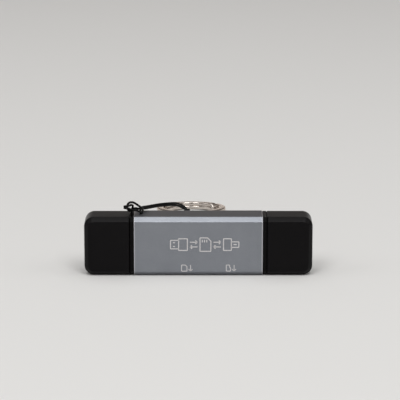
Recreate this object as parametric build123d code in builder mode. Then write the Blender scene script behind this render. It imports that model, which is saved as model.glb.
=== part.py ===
import os
from math import cos, radians, sin, sqrt, tan

from build123d import *

os.makedirs("parts", exist_ok=True)

# Card reader bar, standing on its slot side: X along the bar, Z up, front face towards -Y.
# All sizes are in millimetres.

# Plugs at their standard sizes: width along Z, thickness along Y, reach is what stands out of the bezel
PLUG_A_WIDTH = 12.0
PLUG_A_THICKNESS = 4.5
PLUG_A_CORNER = 0.6
PLUG_A_SHEET = 0.3
PLUG_A_REACH = 11.75
PLUG_A_TAIL = 7.05
PLUG_A_BLOCK = 2.4
TONGUE_THICKNESS = 1.84
TONGUE_SETBACK = 0.5
TONGUE_SIDE_GAP = 0.3
WINDOW_LENGTH = 2.2
WINDOW_WIDTH = 2.0
WINDOW_SPACING = 5.2
WINDOW_FROM_TIP = 5.2
CONTACT_A_SHEET = 0.2
CONTACT_A_WIDTH = 1.0
CONTACT_A_INNER = 1.0
CONTACT_A_OUTER = 3.5
CONTACT_A_INNER_SETBACK = 3.0
CONTACT_A_OUTER_SETBACK = 2.0
CONTACT_A_FOOT = 1.5

PLUG_C_WIDTH = 8.25
PLUG_C_THICKNESS = 2.4
PLUG_C_SHEET = 0.25
PLUG_C_REACH = 6.65
PLUG_C_TAIL = 7.05
INSERT_SETBACK = 0.35
MOUTH_C_WIDTH = 6.9
MOUTH_C_DEPTH = 5.0
CONTACT_C_SHEET = 0.12
CONTACT_C_WIDTH = 0.28
CONTACT_C_PITCH = 0.5
CONTACT_C_COUNT = 12
CONTACT_C_SETBACK = 1.2
CONTACT_C_FOOT = 1.2

# Body section and the drawn aluminium sleeve
SLEEVE_LENGTH = 43.0
SLEEVE_WALL = 1.0
SLEEVE_END_BREAK = 0.25
BODY_DEPTH = 12.0
PLUG_ROOM = 3.0
EDGE_CHAMFER = 1.5
SLEEVE_SOFTENING = 0.3
BODY_HEIGHT = PLUG_A_WIDTH + 2 * (PLUG_ROOM + SLEEVE_WALL)
MID_HEIGHT = BODY_HEIGHT / 2
SLEEVE_END = SLEEVE_LENGTH / 2
BEVEL_SHRINK = 2 - sqrt(2)

# Moulded end bezels
TRIM_INSET = 0.1
TRIM_SOFTENING = 0.6
BEZEL_FLANGE = 1.35
BEZEL_EDGE = 0.2
BEZEL_FIT = 0.05
SPIGOT_LENGTH = 2.0
SPIGOT_WALL = 1.0
COLLAR_LENGTH = 1.8
COLLAR_LEAD = 0.3
PLUG_FIT = 0.04
FLANGE_FACE = SLEEVE_END + BEZEL_FLANGE
COLLAR_FACE = FLANGE_FACE + COLLAR_LENGTH

# Moulded caps, deep enough for the longer plug
CAP_SEAM = 0.05
CAP_FIT = 0.08
CAP_WALL = 1.3
CAP_END_WALL = 1.2
CAP_CORNER = 3.2
CAP_MOUTH_EDGE = 0.2
RIM_MATCH = 0.01
PLUG_TIP_ROOM = 0.4
CAP_MOUTH = FLANGE_FACE + CAP_SEAM
CAP_CAVITY = COLLAR_LENGTH - CAP_SEAM + PLUG_A_REACH + PLUG_TIP_ROOM
CAP_LENGTH = CAP_CAVITY + CAP_END_WALL

# Ends of the two plugs, measured outwards from the middle of the bar
PLUG_A_TIP = COLLAR_FACE + PLUG_A_REACH
PLUG_A_REAR = COLLAR_FACE - PLUG_A_TAIL
PLUG_C_TIP = COLLAR_FACE + PLUG_C_REACH
PLUG_C_REAR = COLLAR_FACE - PLUG_C_TAIL

# Circuit board, on edge in the middle of the sleeve
BOARD_THICKNESS = 0.8
BOARD_SLEEVE_GAP = 0.3
BOARD_PLUG_A_GAP = 1.0
BOARD_PLUG_C_GAP = 0.1
BOARD_TOP_DROP = 0.2
BOARD_FIT = 0.05
EAR_PLUG_GAP = 0.3
EAR_END_GAP = 0.15
GUIDE_LENGTH = 3.2
GUIDE_WALL = 0.8
BOARD_FACE = BOARD_THICKNESS / 2
BOARD_LEFT = -(PLUG_A_REAR - BOARD_PLUG_A_GAP)
BOARD_RIGHT = PLUG_C_REAR - BOARD_PLUG_C_GAP
BOARD_BOTTOM = SLEEVE_WALL + BOARD_SLEEVE_GAP
BOARD_TOP = MID_HEIGHT + PLUG_A_WIDTH / 2 - BOARD_TOP_DROP
EAR_BOTTOM = SLEEVE_WALL + BEZEL_FIT + SPIGOT_WALL + BOARD_FIT
EAR_TOP = MID_HEIGHT - PLUG_A_WIDTH / 2 - EAR_PLUG_GAP

# Card sockets: the large one on the board's front face, the small one on its back face
LARGE_CARD_WIDTH = 24.3
LARGE_CARD_GAP = 2.3
LARGE_RAIL = 0.6
LARGE_FLOOR = 0.5
LARGE_PINS = 9
LARGE_PITCH = 2.5
LARGE_PIN_WIDTH = 0.9
SMALL_CARD_WIDTH = 11.3
SMALL_CARD_GAP = 1.0
SMALL_RAIL = 0.45
SMALL_FLOOR = 0.4
SMALL_PINS = 8
SMALL_PITCH = 1.1
SMALL_PIN_WIDTH = 0.5
SOCKET_SHEET = 0.2
SOCKET_SLEEVE_GAP = 0.15
SOCKET_TOP_DROP = 1.2
SOCKET_REAR_WALL = 1.2
SOCKET_END_GAP = 0.1
SOCKET_TAIL_ROOM = 0.2
PIN_SHEET = 0.2
PIN_FOOT = 0.9
PIN_REACH = 5.0
SLOT_LEAD = 0.2
SLOT_CORNER = 0.3
SOCKET_MOUTH = SLEEVE_WALL + SOCKET_SLEEVE_GAP
SOCKET_DEPTH = BOARD_TOP - SOCKET_TOP_DROP - SOCKET_MOUTH
LARGE_HALF = LARGE_CARD_WIDTH / 2 + LARGE_RAIL + SOCKET_SHEET
SMALL_HALF = SMALL_CARD_WIDTH / 2 + SMALL_RAIL + SOCKET_SHEET
LARGE_SLOT_X = BOARD_LEFT + SOCKET_END_GAP + LARGE_HALF
SMALL_SLOT_X = BOARD_RIGHT - CONTACT_C_FOOT - SOCKET_TAIL_ROOM - SMALL_HALF
LARGE_SLOT_Y = -(BOARD_FACE + LARGE_FLOOR + LARGE_CARD_GAP / 2)
SMALL_SLOT_Y = BOARD_FACE + SMALL_FLOOR + SMALL_CARD_GAP / 2

# Chips on the back face of the board, placed from its left end and its lower edge
CHIP_COLUMN = 5.2
CONTROLLER_SIDE = 5.0
CONTROLLER_HEIGHT = 0.85
CONTROLLER_Z = 7.4
REGULATOR_LENGTH = 2.9
REGULATOR_WIDTH = 1.6
REGULATOR_HEIGHT = 1.1
REGULATOR_LEAD = 0.6
REGULATOR_LEAD_SHEET = 0.15
REGULATOR_LEAD_WIDTH = 0.4
REGULATOR_PITCH = 0.95
REGULATOR_Z = 2.4
CRYSTAL_LENGTH = 3.2
CRYSTAL_WIDTH = 2.5
CRYSTAL_BASE = 0.4
CRYSTAL_LID = 0.35
CRYSTAL_RIM = 0.25
CRYSTAL_Z = 12.3
CAPACITOR_COLUMN = 9.2
CAPACITOR_COUNT = 5
CAPACITOR_PITCH = 2.5
CAPACITOR_WIDTH = 0.8
CAPACITOR_LENGTH = 1.6
CAPACITOR_HEIGHT = 0.8
RESISTOR_COLUMN = 10.4
RESISTOR_COUNT = 6
RESISTOR_PITCH = 2.0
RESISTOR_WIDTH = 0.5
RESISTOR_LENGTH = 1.0
RESISTOR_HEIGHT = 0.35
BOARD_MID = (BOARD_BOTTOM + BOARD_TOP) / 2

# Strap eye: a hole in the sleeve's top, a notch in the left bezel and a trough that joins them
CORD_DIAMETER = 0.7
CORD_SIDES = 6
STRAP_HOLE = 2.0
STRAP_HOLE_INSET = 2.25
NOTCH_DEPTH = 1.1
TROUGH_WIDTH = 2.2
TROUGH_DEPTH = 1.7
TROUGH_END_GAP = 0.1
STRAP_BLOCK_WALL = 0.9
STRAP_BLOCK_PLUG_GAP = 0.3
STRAP_HOLE_X = -(SLEEVE_END - STRAP_HOLE_INSET)

# Split ring, lying on the table behind the bar with its near edge lifted by the strap
RING_OUTER = 25.4
RING_BAND = 2.5
RING_TURN = 1.3
RING_TURN_CORNER = 0.15
RING_TURN_SINK = 0.02
RING_X = -2.7
RING_Y = 77.65
RING_TILT = 4.6
RING_SPLIT_ANGLE = 36.0
RING_RAMP_LENGTH = 4.0
RING_SPLIT_GAP = 1.2
RING_SPLIT_OVERCUT = 0.1
RING_FLOOR_GAP = 0.02

# Strap, doubled: out along the lower strand, once round the ring's near edge, back along the upper strand
CORD_ROUTE = [
    (-20.4, 0.3, 21.9),
    (-19.0, 1.7, 21.3),
    (-17.3, 5.5, 20.5),
    (-15.55, 11.5, 19.4),
    (-13.3, 19.0, 18.05),
    (-11.15, 27.5, 16.2),
    (-9.25, 36.5, 14.1),
    (-7.7, 45.5, 11.85),
    (-6.4, 53.0, 9.5),
    (-5.3, 58.5, 7.35),
    (-4.65, 61.6, 5.6),
    (-4.4, 63.3, 3.7),
    (-4.2, 64.3, 2.0),
    (-4.05, 65.5, 1.2),
    (-3.9, 67.2, 1.05),
    (-3.75, 68.35, 2.1),
    (-3.6, 68.55, 3.9),
    (-3.5, 67.7, 5.1),
    (-3.5, 66.1, 5.2),
    (-3.6, 64.4, 5.5),
    (-3.9, 62.0, 6.4),
    (-4.6, 58.5, 7.85),
    (-5.8, 53.0, 10.1),
    (-7.5, 45.5, 12.65),
    (-9.55, 36.5, 14.85),
    (-11.75, 27.5, 16.8),
    (-14.0, 19.0, 18.55),
    (-16.25, 11.5, 19.9),
    (-18.0, 5.5, 21.0),
    (-19.2, 1.9, 21.95),
    (-20.5, 0.5, 22.5),
]
EYE_ROUTE = [(-22.05, 0, 21.9), (-22.05, 0, 18.1), (-19.25, 0, 18.1), (-19.25, 0, 21.9)]
EYE_BEND = 0.8
KNOT_CENTRE = (-21.4, 0.1, 22.35)
KNOT_HALF_LENGTH = 3.0
KNOT_RADIUS = 1.25
KNOT_SIDES = 8
KNOT_SHOULDER = 0.5
RUN_SHARE = 0.45


def end_plane(side, x):
    """Plane across the bar at x on the side given by -1 or 1, facing outwards, with Z up."""
    return Plane(origin=(side * x, 0, MID_HEIGHT), x_dir=(0, side, 0), z_dir=(side, 0, 0))


def bar_prism(plane, inset, length, mode=Mode.ADD):
    """Extrudes the chamfered section of the bar, inset from the sleeve's outside, into the active part."""
    with BuildSketch(plane) as section:
        Rectangle(BODY_DEPTH - 2 * inset, BODY_HEIGHT - 2 * inset)
        chamfer(section.vertices(), EDGE_CHAMFER - BEVEL_SHRINK * inset)
    extrude(section.sketch, amount=length, mode=mode)


def rim_lines(end, from_middle, at_mouth):
    """Lines round an end of the bar at one distance from its middle plane, less those at its mouth."""
    level = end.edges().filter_by(lambda edge: abs((edge @ 0).Y - (edge @ 1).Y) < RIM_MATCH)
    rims = level.filter_by(lambda edge: abs(abs(edge.center().Y) - from_middle) < RIM_MATCH)
    return rims.filter_by(lambda edge: abs(edge.center().X - at_mouth) > RIM_MATCH)


def bar_end(side, length, inset, corner, softening=0):
    """Closed end of the bar from the cap's mouth outwards, bevelled all round, with rounded corners."""
    depth = BODY_DEPTH - 2 * inset
    bevel = EDGE_CHAMFER - BEVEL_SHRINK * inset
    at_mouth = side * CAP_MOUTH
    with BuildPart() as end:
        with BuildSketch(Plane.XZ) as front:
            with Locations((at_mouth + side * length / 2, MID_HEIGHT)):
                Rectangle(length, BODY_HEIGHT - 2 * inset)
            outer_corners = front.vertices().sort_by(Axis((0, 0, 0), (side, 0, 0)))[-2:]
            fillet(outer_corners, corner)
        extrude(amount=depth / 2, both=True)
        chamfer(rim_lines(end, depth / 2, at_mouth), bevel)
        if softening:
            fillet(rim_lines(end, depth / 2, at_mouth), softening)
            chamfer(rim_lines(end, depth / 2 - bevel, at_mouth), softening * tan(radians(45 / 2)))
    return end.part


def cap_shell(cap, side, outside, cavity):
    """Hollow cap with a softened mouth, in the active part."""
    add(outside)
    add(cavity, mode=Mode.SUBTRACT)
    mouth = cap.faces().filter_by(Axis.X).sort_by(Axis((0, 0, 0), (side, 0, 0)))[0]
    chamfer(mouth.outer_wire().edges(), CAP_MOUTH_EDGE)


def bezel_solid(bezel, side):
    """Flange between cap and sleeve, collar for the cap, hollow spigot in the sleeve and board guides."""
    bar_prism(end_plane(side, SLEEVE_END), TRIM_INSET, BEZEL_FLANGE)
    fillet(bezel.edges().filter_by(Axis.X), TRIM_SOFTENING)
    chamfer(bezel.faces().filter_by(Axis.X).edges(), BEZEL_EDGE)
    bar_prism(end_plane(side, FLANGE_FACE), TRIM_INSET + CAP_WALL + CAP_FIT, COLLAR_LENGTH)
    collar_face = bezel.faces().filter_by(Axis.X).sort_by(Axis((0, 0, 0), (side, 0, 0)))[-1]
    chamfer(collar_face.edges(), COLLAR_LEAD)
    in_sleeve = SLEEVE_WALL + BEZEL_FIT
    bar_prism(end_plane(side, SLEEVE_END), in_sleeve, -SPIGOT_LENGTH)
    bar_prism(end_plane(side, SLEEVE_END), in_sleeve + SPIGOT_WALL, -SPIGOT_LENGTH, Mode.SUBTRACT)
    guide_y = BOARD_FACE + BOARD_FIT + GUIDE_WALL / 2
    with Locations(
        (side * (SLEEVE_END - GUIDE_LENGTH / 2), -guide_y, in_sleeve),
        (side * (SLEEVE_END - GUIDE_LENGTH / 2), guide_y, in_sleeve),
    ):
        Box(GUIDE_LENGTH, GUIDE_WALL, EAR_TOP - in_sleeve, align=(Align.CENTER, Align.CENTER, Align.MIN))


def pin_row(plane, count, pitch, width, floor):
    """Sprung card contacts: foot on the board, step through the rear wall, leaf in the card's way."""
    level = floor + PIN_SHEET / 2
    leaf = [
        (SOCKET_DEPTH + PIN_FOOT, PIN_SHEET / 2),
        (SOCKET_DEPTH + PIN_FOOT / 2, PIN_SHEET / 2),
        (SOCKET_DEPTH + PIN_FOOT / 4, level),
        (SOCKET_DEPTH - SOCKET_REAR_WALL, level),
        (SOCKET_DEPTH - PIN_REACH, level + 2 * PIN_SHEET),
        (SOCKET_DEPTH - PIN_REACH - PIN_FOOT, level + PIN_SHEET / 2),
    ]
    side_on = Plane(origin=plane.origin, x_dir=plane.y_dir, z_dir=plane.x_dir)
    for index in range(count):
        with BuildSketch(side_on.offset((index - (count - 1) / 2) * pitch)) as profile:
            with BuildLine():
                Polyline(*leaf)
            trace(line_width=PIN_SHEET)
        extrude(profile.sketch, amount=width / 2, both=True)


def socket_tray(plane, width, gap, rail, floor, pins):
    """Moulded socket: floor on the board, two side rails and a rear wall that holds the contacts."""
    with BuildSketch(plane) as block:
        Rectangle(width + 2 * rail, SOCKET_DEPTH, align=(Align.CENTER, Align.MIN))
    extrude(block.sketch, amount=floor + gap)
    with BuildSketch(plane.offset(floor)) as card_way:
        Rectangle(width, SOCKET_DEPTH - SOCKET_REAR_WALL, align=(Align.CENTER, Align.MIN))
    extrude(card_way.sketch, amount=gap, mode=Mode.SUBTRACT)
    add(pins, mode=Mode.SUBTRACT)


def socket_lid(plane, width, gap, rail, floor):
    """Folded sheet cover over a socket: a plate with a flange down each side and two spring windows."""
    inside = width + 2 * rail
    with BuildSketch(plane) as outside:
        Rectangle(inside + 2 * SOCKET_SHEET, SOCKET_DEPTH, align=(Align.CENTER, Align.MIN))
    extrude(outside.sketch, amount=floor + gap + SOCKET_SHEET)
    with BuildSketch(plane) as tray:
        Rectangle(inside, SOCKET_DEPTH, align=(Align.CENTER, Align.MIN))
    extrude(tray.sketch, amount=floor + gap, mode=Mode.SUBTRACT)
    with BuildSketch(plane.offset(floor + gap)) as windows:
        with Locations((0, SOCKET_DEPTH / 2)):
            with GridLocations(width / 2, 1, 2, 1):
                Rectangle(width / 8, SOCKET_DEPTH / 3)
    extrude(windows.sketch, amount=SOCKET_SHEET, mode=Mode.SUBTRACT)


def bend_radii(points):
    """Radius of the largest arc that the runs on each side of a corner allow, corner by corner."""
    radii = []
    for before, corner, after in zip(points, points[1:], points[2:]):
        run_in = Vector(*corner) - Vector(*before)
        run_out = Vector(*after) - Vector(*corner)
        half_turn = radians(run_in.get_angle(run_out)) / 2
        radii.append(RUN_SHARE * min(run_in.length, run_out.length) / tan(half_turn))
    return radii


# Sleeve: a drawn and bead-blasted aluminium tube, with two card slots below and the strap hole on top
with BuildPart() as sleeve:
    bar_prism(end_plane(1, -SLEEVE_END), 0, SLEEVE_LENGTH)
    fillet(sleeve.edges().filter_by(Axis.X), SLEEVE_SOFTENING)
    chamfer(sleeve.faces().filter_by(Axis.X).edges(), SLEEVE_END_BREAK)
    bar_prism(end_plane(1, -SLEEVE_END), SLEEVE_WALL, SLEEVE_LENGTH, Mode.SUBTRACT)
    with BuildSketch(Plane.XY):
        with Locations((LARGE_SLOT_X, LARGE_SLOT_Y)):
            RectangleRounded(LARGE_CARD_WIDTH, LARGE_CARD_GAP, SLOT_CORNER)
        with Locations((SMALL_SLOT_X, SMALL_SLOT_Y)):
            RectangleRounded(SMALL_CARD_WIDTH, SMALL_CARD_GAP, SLOT_CORNER)
    extrude(amount=SLEEVE_WALL, mode=Mode.SUBTRACT)
    slot_rims = sleeve.faces().sort_by(Axis.Z)[0].inner_wires()
    chamfer([edge for rim in slot_rims for edge in rim.edges()], SLOT_LEAD)
    with Locations((STRAP_HOLE_X, 0, BODY_HEIGHT)):
        Hole(STRAP_HOLE / 2, depth=2 * SLEEVE_WALL)
sleeve.part.label = "sleeve"
export_step(sleeve.part, "parts/sleeve.step")

# Left bezel: window for the type A plug, and the trough that leads the strap round the sleeve's end
with BuildPart() as left_bezel:
    bezel_solid(left_bezel, -1)
    block_right = STRAP_HOLE_X + STRAP_HOLE / 2 + TROUGH_END_GAP + STRAP_BLOCK_WALL
    block_bottom = MID_HEIGHT + PLUG_A_WIDTH / 2 + STRAP_BLOCK_PLUG_GAP
    block_top = BODY_HEIGHT - SLEEVE_WALL - BEZEL_FIT
    with BuildSketch(Plane.XY.offset(block_bottom)):
        with Locations(((block_right - SLEEVE_END) / 2, 0)):
            Rectangle(block_right + SLEEVE_END, TROUGH_WIDTH + 2 * STRAP_BLOCK_WALL)
    extrude(amount=block_top - block_bottom)
    trough_left = -(SLEEVE_END + NOTCH_DEPTH)
    trough_right = block_right - STRAP_BLOCK_WALL
    with BuildSketch(Plane.XY.offset(block_top - TROUGH_DEPTH)):
        with Locations(((trough_left + trough_right) / 2, 0)):
            Rectangle(trough_right - trough_left, TROUGH_WIDTH)
    extrude(amount=TROUGH_DEPTH + SLEEVE_WALL + BEZEL_FIT, mode=Mode.SUBTRACT)
    with BuildSketch(end_plane(-1, SLEEVE_END)):
        RectangleRounded(
            PLUG_A_THICKNESS + 2 * PLUG_FIT,
            PLUG_A_WIDTH + 2 * PLUG_FIT,
            PLUG_A_CORNER + PLUG_FIT,
        )
    extrude(amount=BEZEL_FLANGE + COLLAR_LENGTH, mode=Mode.SUBTRACT)
left_bezel.part.label = "left_bezel"
export_step(left_bezel.part, "parts/left_bezel.step")

# Right bezel: window for the type C plug
with BuildPart() as right_bezel:
    bezel_solid(right_bezel, 1)
    with BuildSketch(end_plane(1, SLEEVE_END)):
        SlotOverall(PLUG_C_WIDTH + 2 * PLUG_FIT, PLUG_C_THICKNESS + 2 * PLUG_FIT, rotation=90)
    extrude(amount=BEZEL_FLANGE + COLLAR_LENGTH, mode=Mode.SUBTRACT)
right_bezel.part.label = "right_bezel"
export_step(right_bezel.part, "parts/right_bezel.step")

# Caps: hollow mouldings that push over the collars and carry the bar's section to its rounded ends
left_outside = bar_end(-1, CAP_LENGTH, TRIM_INSET, CAP_CORNER, TRIM_SOFTENING)
left_cavity = bar_end(-1, CAP_CAVITY, TRIM_INSET + CAP_WALL, CAP_CORNER - CAP_WALL)
with BuildPart() as left_cap:
    cap_shell(left_cap, -1, left_outside, left_cavity)
left_cap.part.label = "left_cap"
export_step(left_cap.part, "parts/left_cap.step")

right_outside = bar_end(1, CAP_LENGTH, TRIM_INSET, CAP_CORNER, TRIM_SOFTENING)
right_cavity = bar_end(1, CAP_CAVITY, TRIM_INSET + CAP_WALL, CAP_CORNER - CAP_WALL)
with BuildPart() as right_cap:
    cap_shell(right_cap, 1, right_outside, right_cavity)
right_cap.part.label = "right_cap"
export_step(right_cap.part, "parts/right_cap.step")

# Circuit board: on edge between the plugs, with an ear at each lower corner that sits in the bezel guides
with BuildPart() as circuit_board:
    with BuildSketch(Plane.XZ):
        with Locations(((BOARD_LEFT + BOARD_RIGHT) / 2, BOARD_MID)):
            Rectangle(BOARD_RIGHT - BOARD_LEFT, BOARD_TOP - BOARD_BOTTOM)
        with Locations((0, (EAR_BOTTOM + EAR_TOP) / 2)):
            Rectangle(2 * (SLEEVE_END - EAR_END_GAP), EAR_TOP - EAR_BOTTOM)
    extrude(amount=BOARD_THICKNESS / 2, both=True)
circuit_board.part.label = "circuit_board"
export_step(circuit_board.part, "parts/circuit_board.step")

# Type A plug: folded steel shell with latch windows, moulded tongue, four flat contacts
with BuildPart() as type_a_shell:
    with BuildSketch(end_plane(-1, PLUG_A_REAR)):
        RectangleRounded(PLUG_A_THICKNESS, PLUG_A_WIDTH, PLUG_A_CORNER)
        RectangleRounded(
            PLUG_A_THICKNESS - 2 * PLUG_A_SHEET,
            PLUG_A_WIDTH - 2 * PLUG_A_SHEET,
            PLUG_A_CORNER - PLUG_A_SHEET,
            mode=Mode.SUBTRACT,
        )
    extrude(amount=PLUG_A_TIP - PLUG_A_REAR)
    with BuildSketch(Plane.XZ):
        with Locations((-(PLUG_A_TIP - WINDOW_FROM_TIP), MID_HEIGHT)):
            with GridLocations(1, WINDOW_SPACING, 1, 2):
                Rectangle(WINDOW_LENGTH, WINDOW_WIDTH)
    extrude(amount=PLUG_A_THICKNESS, both=True, mode=Mode.SUBTRACT)
type_a_shell.part.label = "type_a_shell"
export_step(type_a_shell.part, "parts/type_a_shell.step")

tongue_back = PLUG_A_THICKNESS / 2 - PLUG_A_SHEET
tongue_face = tongue_back - TONGUE_THICKNESS
with BuildPart() as type_a_contacts:
    strip_y = tongue_face - CONTACT_A_SHEET / 2
    foot_y = BOARD_FACE + CONTACT_A_SHEET / 2
    for offset_z, setback in (
        (-CONTACT_A_OUTER, CONTACT_A_OUTER_SETBACK),
        (-CONTACT_A_INNER, CONTACT_A_INNER_SETBACK),
        (CONTACT_A_INNER, CONTACT_A_INNER_SETBACK),
        (CONTACT_A_OUTER, CONTACT_A_OUTER_SETBACK),
    ):
        with BuildSketch(Plane.XY.offset(MID_HEIGHT + offset_z)):
            with BuildLine():
                Polyline(
                    (-(PLUG_A_TIP - setback), strip_y),
                    (-PLUG_A_REAR + CONTACT_A_SHEET, strip_y),
                    (BOARD_LEFT - CONTACT_A_SHEET, foot_y),
                    (BOARD_LEFT + CONTACT_A_FOOT, foot_y),
                )
            trace(line_width=CONTACT_A_SHEET)
        extrude(amount=CONTACT_A_WIDTH / 2, both=True)
type_a_contacts.part.label = "type_a_contacts"
export_step(type_a_contacts.part, "parts/type_a_contacts.step")

with BuildPart() as type_a_tongue:
    with BuildSketch(end_plane(-1, PLUG_A_REAR)):
        RectangleRounded(2 * tongue_back, PLUG_A_WIDTH - 2 * PLUG_A_SHEET, PLUG_A_CORNER - PLUG_A_SHEET)
    extrude(amount=PLUG_A_BLOCK)
    with BuildSketch(Plane.XZ.offset(-tongue_face)):
        with Locations((-(PLUG_A_REAR + PLUG_A_TIP - TONGUE_SETBACK) / 2, MID_HEIGHT)):
            Rectangle(
                PLUG_A_TIP - TONGUE_SETBACK - PLUG_A_REAR,
                PLUG_A_WIDTH - 2 * (PLUG_A_SHEET + TONGUE_SIDE_GAP),
            )
    extrude(amount=-TONGUE_THICKNESS)
    add(type_a_contacts.part, mode=Mode.SUBTRACT)
type_a_tongue.part.label = "type_a_tongue"
export_step(type_a_tongue.part, "parts/type_a_tongue.step")

# Type C plug: drawn oval shell, moulded insert with a flat mouth, a row of contacts on each side of the board
with BuildPart() as type_c_shell:
    with BuildSketch(end_plane(1, PLUG_C_REAR)):
        SlotOverall(PLUG_C_WIDTH, PLUG_C_THICKNESS, rotation=90)
        SlotOverall(
            PLUG_C_WIDTH - 2 * PLUG_C_SHEET,
            PLUG_C_THICKNESS - 2 * PLUG_C_SHEET,
            rotation=90,
            mode=Mode.SUBTRACT,
        )
    extrude(amount=PLUG_C_TIP - PLUG_C_REAR)
type_c_shell.part.label = "type_c_shell"
export_step(type_c_shell.part, "parts/type_c_shell.step")

with BuildPart() as type_c_contacts:
    strip_start = PLUG_C_REAR - CONTACT_C_FOOT
    strip_end = PLUG_C_TIP - CONTACT_C_SETBACK
    for face in (-1, 1):
        with BuildSketch(Plane.XZ.offset(-face * BOARD_FACE)):
            with Locations(((strip_start + strip_end) / 2, MID_HEIGHT)):
                with GridLocations(1, CONTACT_C_PITCH, 1, CONTACT_C_COUNT):
                    Rectangle(strip_end - strip_start, CONTACT_C_WIDTH)
        extrude(amount=-face * CONTACT_C_SHEET)
type_c_contacts.part.label = "type_c_contacts"
export_step(type_c_contacts.part, "parts/type_c_contacts.step")

with BuildPart() as type_c_insert:
    with BuildSketch(end_plane(1, PLUG_C_REAR)):
        SlotOverall(PLUG_C_WIDTH - 2 * PLUG_C_SHEET, PLUG_C_THICKNESS - 2 * PLUG_C_SHEET, rotation=90)
    extrude(amount=PLUG_C_TIP - INSERT_SETBACK - PLUG_C_REAR)
    with BuildSketch(end_plane(1, PLUG_C_TIP - INSERT_SETBACK)):
        Rectangle(BOARD_THICKNESS + CONTACT_C_SHEET, MOUTH_C_WIDTH)
    extrude(amount=-MOUTH_C_DEPTH, mode=Mode.SUBTRACT)
    add(type_c_contacts.part, mode=Mode.SUBTRACT)
type_c_insert.part.label = "type_c_insert"
export_step(type_c_insert.part, "parts/type_c_insert.step")

# Large card socket, on the front face of the board
large_plane = Plane(origin=(LARGE_SLOT_X, -BOARD_FACE, SOCKET_MOUTH), x_dir=(1, 0, 0), z_dir=(0, -1, 0))
with BuildPart() as large_socket_contacts:
    pin_row(large_plane, LARGE_PINS, LARGE_PITCH, LARGE_PIN_WIDTH, LARGE_FLOOR)
large_socket_contacts.part.label = "large_socket_contacts"
export_step(large_socket_contacts.part, "parts/large_socket_contacts.step")

with BuildPart() as large_socket_body:
    socket_tray(
        large_plane, LARGE_CARD_WIDTH, LARGE_CARD_GAP, LARGE_RAIL, LARGE_FLOOR, large_socket_contacts.part
    )
large_socket_body.part.label = "large_socket_body"
export_step(large_socket_body.part, "parts/large_socket_body.step")

with BuildPart() as large_socket_cover:
    socket_lid(large_plane, LARGE_CARD_WIDTH, LARGE_CARD_GAP, LARGE_RAIL, LARGE_FLOOR)
large_socket_cover.part.label = "large_socket_cover"
export_step(large_socket_cover.part, "parts/large_socket_cover.step")

# Small card socket, on the back face of the board
small_plane = Plane(origin=(SMALL_SLOT_X, BOARD_FACE, SOCKET_MOUTH), x_dir=(-1, 0, 0), z_dir=(0, 1, 0))
with BuildPart() as small_socket_contacts:
    pin_row(small_plane, SMALL_PINS, SMALL_PITCH, SMALL_PIN_WIDTH, SMALL_FLOOR)
small_socket_contacts.part.label = "small_socket_contacts"
export_step(small_socket_contacts.part, "parts/small_socket_contacts.step")

with BuildPart() as small_socket_body:
    socket_tray(
        small_plane, SMALL_CARD_WIDTH, SMALL_CARD_GAP, SMALL_RAIL, SMALL_FLOOR, small_socket_contacts.part
    )
small_socket_body.part.label = "small_socket_body"
export_step(small_socket_body.part, "parts/small_socket_body.step")

with BuildPart() as small_socket_cover:
    socket_lid(small_plane, SMALL_CARD_WIDTH, SMALL_CARD_GAP, SMALL_RAIL, SMALL_FLOOR)
small_socket_cover.part.label = "small_socket_cover"
export_step(small_socket_cover.part, "parts/small_socket_cover.step")

# Chips: drawn on the board's back face, with local x towards -X and local y up
chip_plane = Plane(origin=(BOARD_LEFT, BOARD_FACE, BOARD_BOTTOM), x_dir=(-1, 0, 0), z_dir=(0, 1, 0))
with BuildPart() as controller_chip:
    with BuildSketch(chip_plane):
        with Locations((-CHIP_COLUMN, CONTROLLER_Z)):
            Rectangle(CONTROLLER_SIDE, CONTROLLER_SIDE)
    extrude(amount=CONTROLLER_HEIGHT)
    chamfer(controller_chip.edges().filter_by(Axis.Y).sort_by(Axis.X)[0], CONTROLLER_HEIGHT / 2)
controller_chip.part.label = "controller_chip"
export_step(controller_chip.part, "parts/controller_chip.step")

with BuildPart() as voltage_regulator:
    with BuildSketch(chip_plane):
        with Locations((-CHIP_COLUMN, REGULATOR_Z)):
            Rectangle(REGULATOR_LENGTH, REGULATOR_WIDTH)
    extrude(amount=REGULATOR_HEIGHT)
    with BuildSketch(chip_plane):
        with Locations((-CHIP_COLUMN, REGULATOR_Z)):
            with GridLocations(REGULATOR_PITCH, 1, 3, 1):
                Rectangle(REGULATOR_LEAD_WIDTH, REGULATOR_WIDTH + 2 * REGULATOR_LEAD)
    extrude(amount=REGULATOR_LEAD_SHEET)
voltage_regulator.part.label = "voltage_regulator"
export_step(voltage_regulator.part, "parts/voltage_regulator.step")

with BuildPart() as clock_crystal:
    with BuildSketch(chip_plane):
        with Locations((-CHIP_COLUMN, CRYSTAL_Z)):
            Rectangle(CRYSTAL_LENGTH, CRYSTAL_WIDTH)
    extrude(amount=CRYSTAL_BASE)
    with BuildSketch(chip_plane.offset(CRYSTAL_BASE)):
        with Locations((-CHIP_COLUMN, CRYSTAL_Z)):
            RectangleRounded(CRYSTAL_LENGTH - 2 * CRYSTAL_RIM, CRYSTAL_WIDTH - 2 * CRYSTAL_RIM, CRYSTAL_RIM)
    extrude(amount=CRYSTAL_LID)
clock_crystal.part.label = "clock_crystal"
export_step(clock_crystal.part, "parts/clock_crystal.step")

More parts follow.
